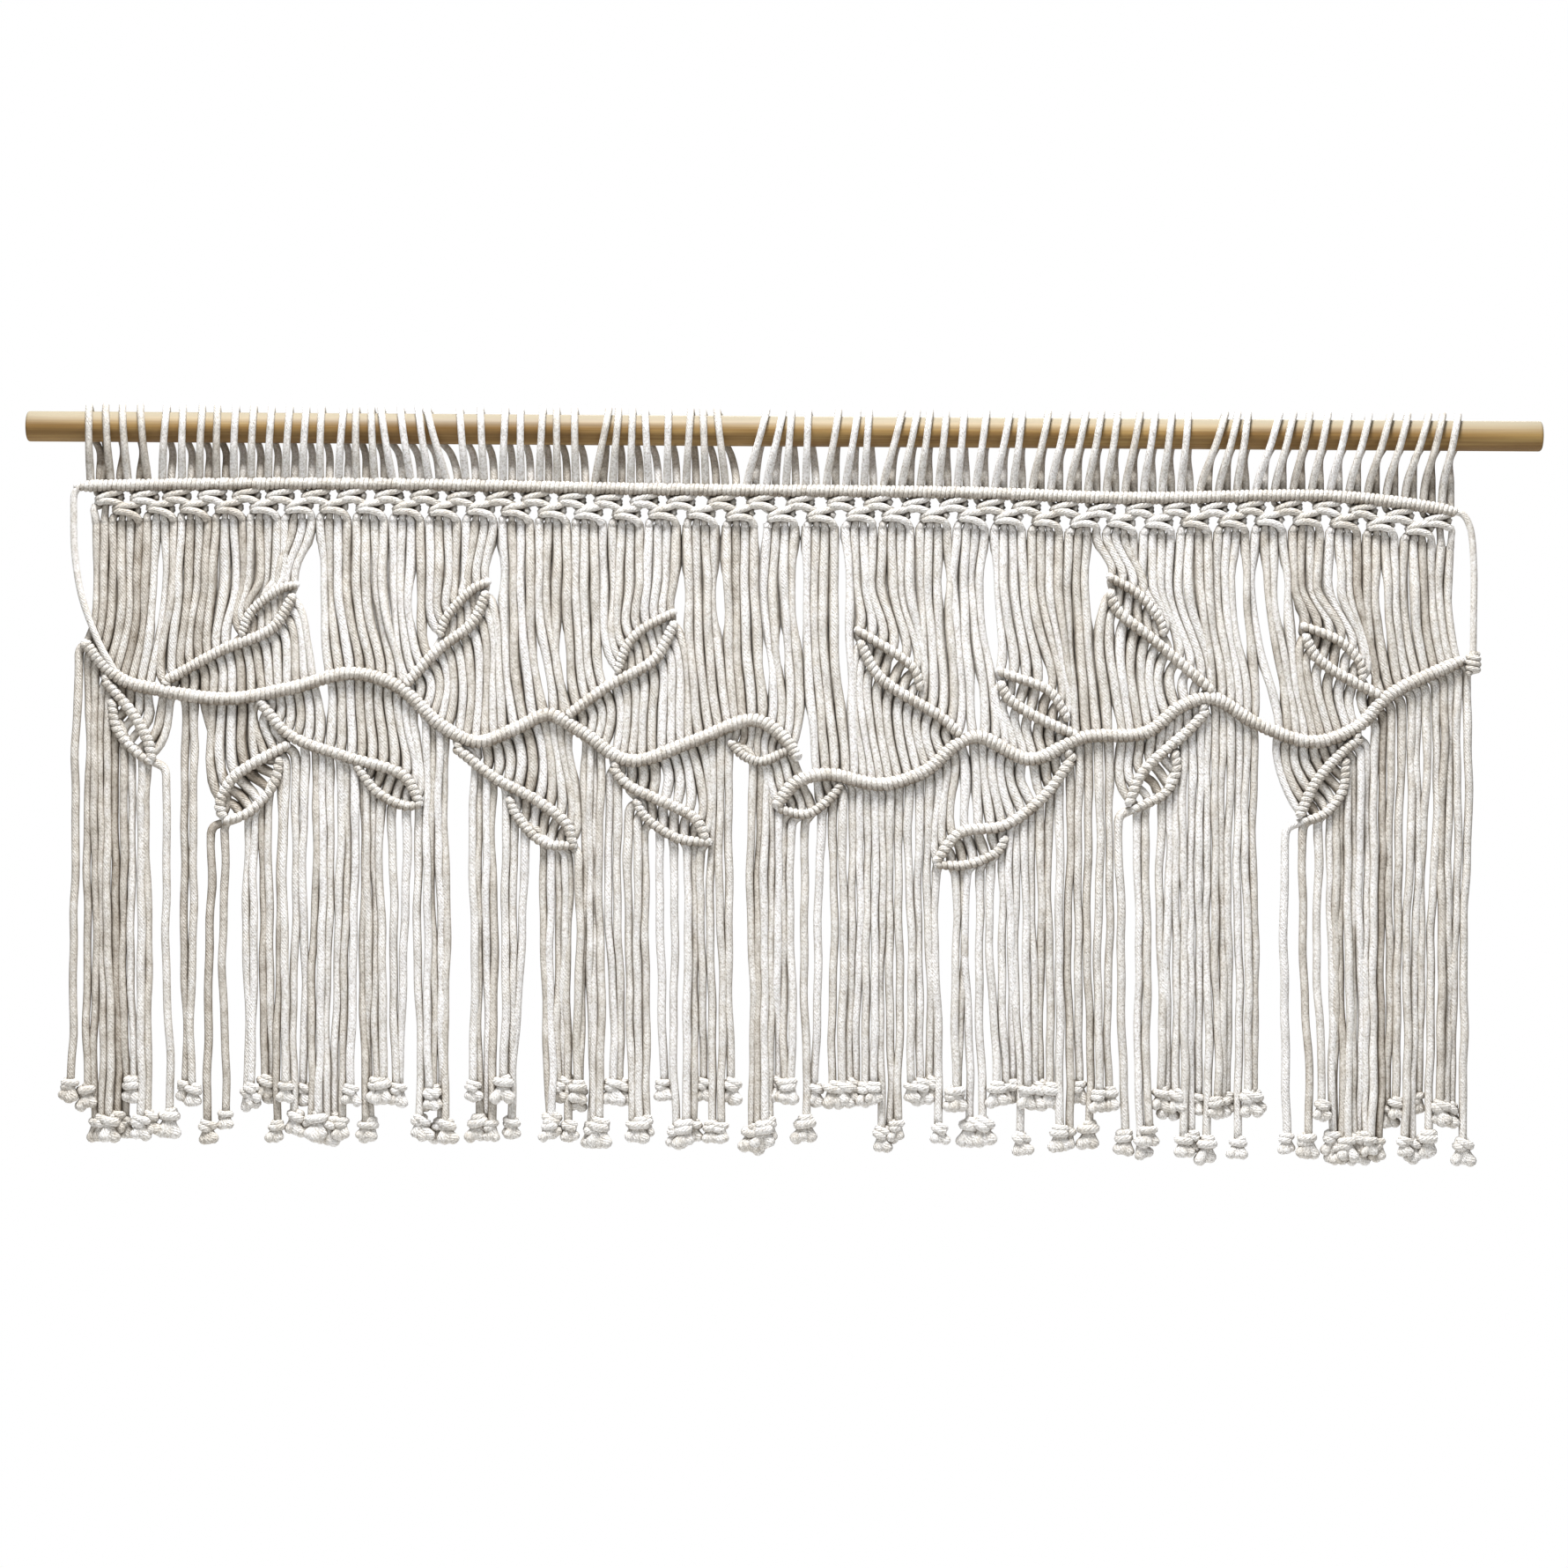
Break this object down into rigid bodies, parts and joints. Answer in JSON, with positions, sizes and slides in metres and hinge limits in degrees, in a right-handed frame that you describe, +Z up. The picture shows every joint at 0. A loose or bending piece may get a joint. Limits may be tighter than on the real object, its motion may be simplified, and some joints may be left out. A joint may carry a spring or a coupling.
{
  "type": "macrame curtain on wooden rod",
  "caption": "Short macrame curtain of knotted cotton cord with a winding leaf vine and a knotted fringe, looped over a round wooden rod.",
  "frame": {"origin": "middle of the rod's axis", "axes": "+X along the rod, -Y towards the front of the curtain, +Z up"},
  "size_m": [1.1, 0.0322, 0.5423],
  "materials": {
    "rod_wood": "sanded, unvarnished",
    "cotton_cord": "matte, softly twisted cotton"
  },
  "bodies": {
    "root": {"rod": "rod_wood", "loop_heading": "cotton_cord", "top_bar": "cotton_cord", "square_knot_band": "cotton_cord", "string_curtain": "cotton_cord", "vine_left": "cotton_cord", "vine_right": "cotton_cord", "leaf_left_1": "cotton_cord", "leaf_left_2": "cotton_cord", "leaf_left_3": "cotton_cord", "leaf_left_4": "cotton_cord", "leaf_left_5": "cotton_cord", "leaf_left_6": "cotton_cord", "leaf_left_7": "cotton_cord", "leaf_left_8": "cotton_cord", "leaf_left_9": "cotton_cord", "leaf_right_1": "cotton_cord", "leaf_right_2": "cotton_cord", "leaf_right_3": "cotton_cord", "leaf_right_4": "cotton_cord", "leaf_right_5": "cotton_cord", "leaf_right_6": "cotton_cord", "leaf_right_7": "cotton_cord", "leaf_right_8": "cotton_cord", "side_cord_left": "cotton_cord", "side_cord_right": "cotton_cord", "side_knot": "cotton_cord"}
  },
  "joints": []
}
